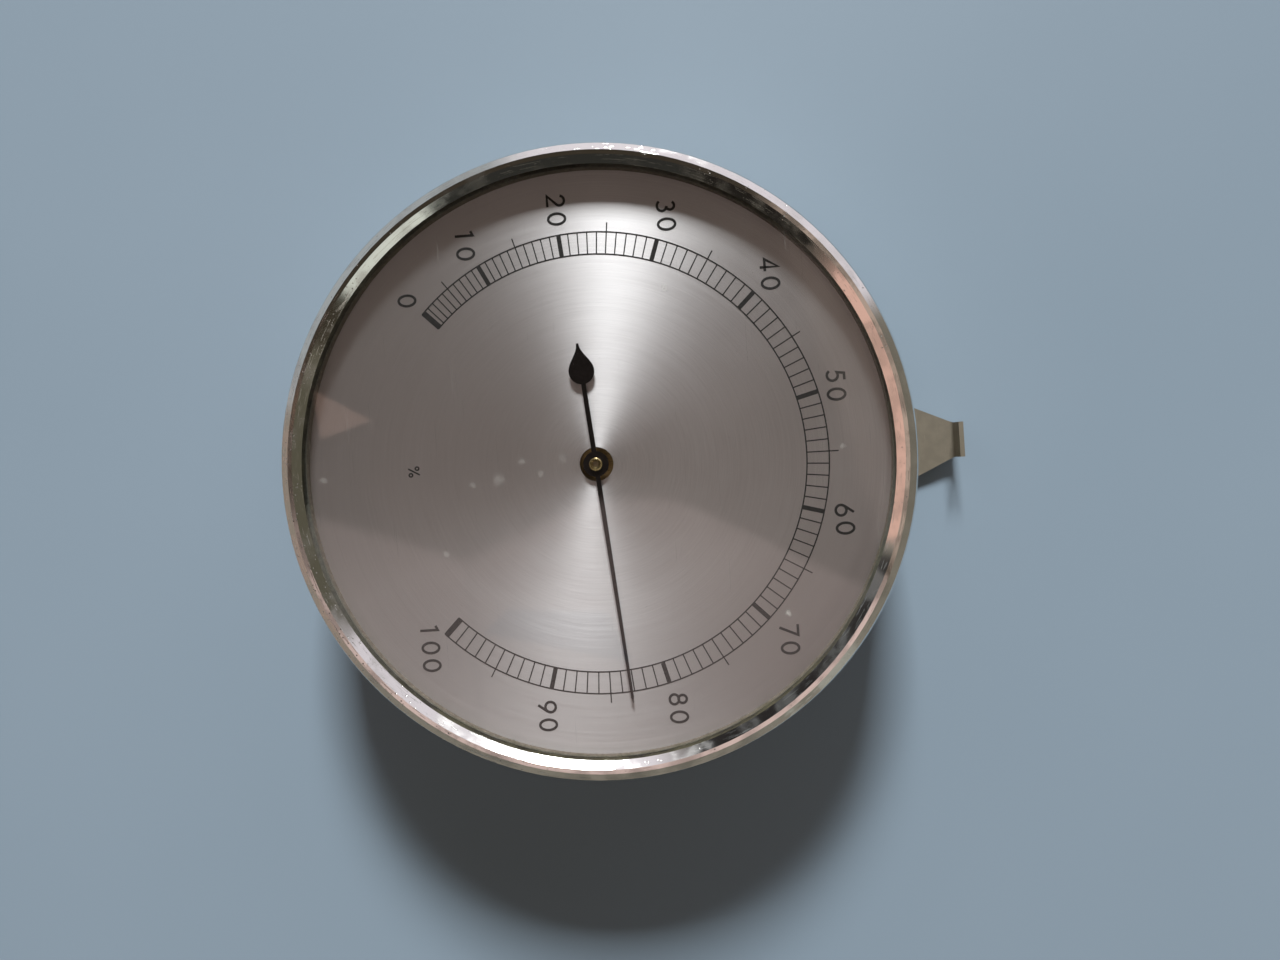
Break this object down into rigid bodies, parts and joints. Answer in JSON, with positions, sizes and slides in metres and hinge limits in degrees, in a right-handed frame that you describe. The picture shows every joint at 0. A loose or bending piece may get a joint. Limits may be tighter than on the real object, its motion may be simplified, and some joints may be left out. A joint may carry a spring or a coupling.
{
  "type": "hair hygrometer",
  "caption": "Round wall hygrometer: chromed bezel, flat crystal, brushed dial with black pointer, and a hair element that turns it through a toothed sector.",
  "frame": {"origin": "on the pointer axis, in the flat face of the case back, which lies on the table or the wall", "axes": "+Z out of the dial along the pointer axis; +Y towards twelve o'clock, where the hanger sticks out; +X towards three o'clock"},
  "size_m": [0.1036, 0.1157, 0.0255],
  "materials": {
    "case_metal": "satin lacquered drawn steel",
    "bezel_chrome": "polished, worn",
    "crystal_glass": "clear flat glass",
    "gasket_rubber": "matte",
    "spacer_metal": "matte",
    "dial_aluminium": "concentrically brushed",
    "hanger_brass": "worn nickel plate over brass",
    "steel_plated": "plated",
    "plate_brass": "brushed",
    "turned_brass": "turned",
    "steel_blued": "polished",
    "arbor_steel": "polished",
    "pointer_black": "gloss black enamel",
    "spring_bronze": "polished",
    "hair": "degreased blond hair"
  },
  "bodies": {
    "case": {"case": "case_metal", "bezel": "bezel_chrome", "crystal": "crystal_glass", "crystal_gasket": "gasket_rubber", "spacer_ring": "spacer_metal", "dial": "dial_aluminium", "hanger": "hanger_brass", "hanger_rivets": "steel_plated", "case_screws": "steel_plated", "case_nuts": "steel_plated", "mainplate": "plate_brass", "pillars": "turned_brass", "pillar_screws": "steel_blued", "bridge": "plate_brass", "bridge_screws": "steel_blued", "arbor_rear_bush": "turned_brass", "arbor_front_bush": "turned_brass", "hairspring": "spring_bronze", "hairspring_stud": "turned_brass", "sector_rear_bush": "turned_brass", "sector_front_bush": "turned_brass", "hair_bundle": "hair", "lever_stud": "arbor_steel", "adjuster_washer": "steel_plated"},
    "pointer": {"pointer": "pointer_black", "pointer_bush": "turned_brass", "pointer_arbor": "arbor_steel", "pinion": "turned_brass", "hairspring_collet": "turned_brass"},
    "sector": {"sector_gear": "plate_brass", "sector_collet": "turned_brass", "sector_arbor": "arbor_steel", "hair_crank": "plate_brass", "crank_pin": "arbor_steel"},
    "lower_clamp": {"lower_hair_clamp": "turned_brass"},
    "calibration": {"calibration_lever": "plate_brass", "hair_anchor_pin": "arbor_steel", "upper_hair_clamp": "turned_brass"},
    "adjuster": {"adjusting_screw": "turned_brass"}
  },
  "joints": [
    {"name": "pointer_turn", "type": "hinge", "parent": "case", "child": "pointer", "pos_m": [0, 0, 0.0211], "axis": [0, 0, 1], "range_deg": [-50, 220], "deforming": ["hairspring"]},
    {"name": "sector_turn", "type": "hinge", "parent": "case", "child": "sector", "pos_m": [-0.01117, -0.02395, 0.0075], "axis": [0, 0, 1], "range_deg": [-22, 5], "deforming": ["hair_bundle"]},
    {"name": "lower_clamp_turn", "type": "hinge", "parent": "sector", "child": "lower_clamp", "pos_m": [-0.01414, -0.0244, 0.0035], "axis": [0, 0, 1], "range_deg": [-5, 22]},
    {"name": "adjuster_turn", "type": "hinge", "parent": "case", "child": "adjuster", "pos_m": [0.00986, 0.03, 0.0063], "axis": [0, 0, 1], "range_deg": [-30, 30]},
    {"name": "calibration_turn", "type": "hinge", "parent": "case", "child": "calibration", "pos_m": [-0.00414, 0.03, 0.0045], "axis": [0, 0, 1], "range_deg": [-2, 2]}
  ],
  "couplings": [
    {"joint": "sector_turn", "follows": "pointer_turn", "ratio": -0.1},
    {"joint": "lower_clamp_turn", "follows": "pointer_turn", "ratio": 0.1},
    {"joint": "calibration_turn", "follows": "adjuster_turn", "ratio": 0.05405}
  ]
}
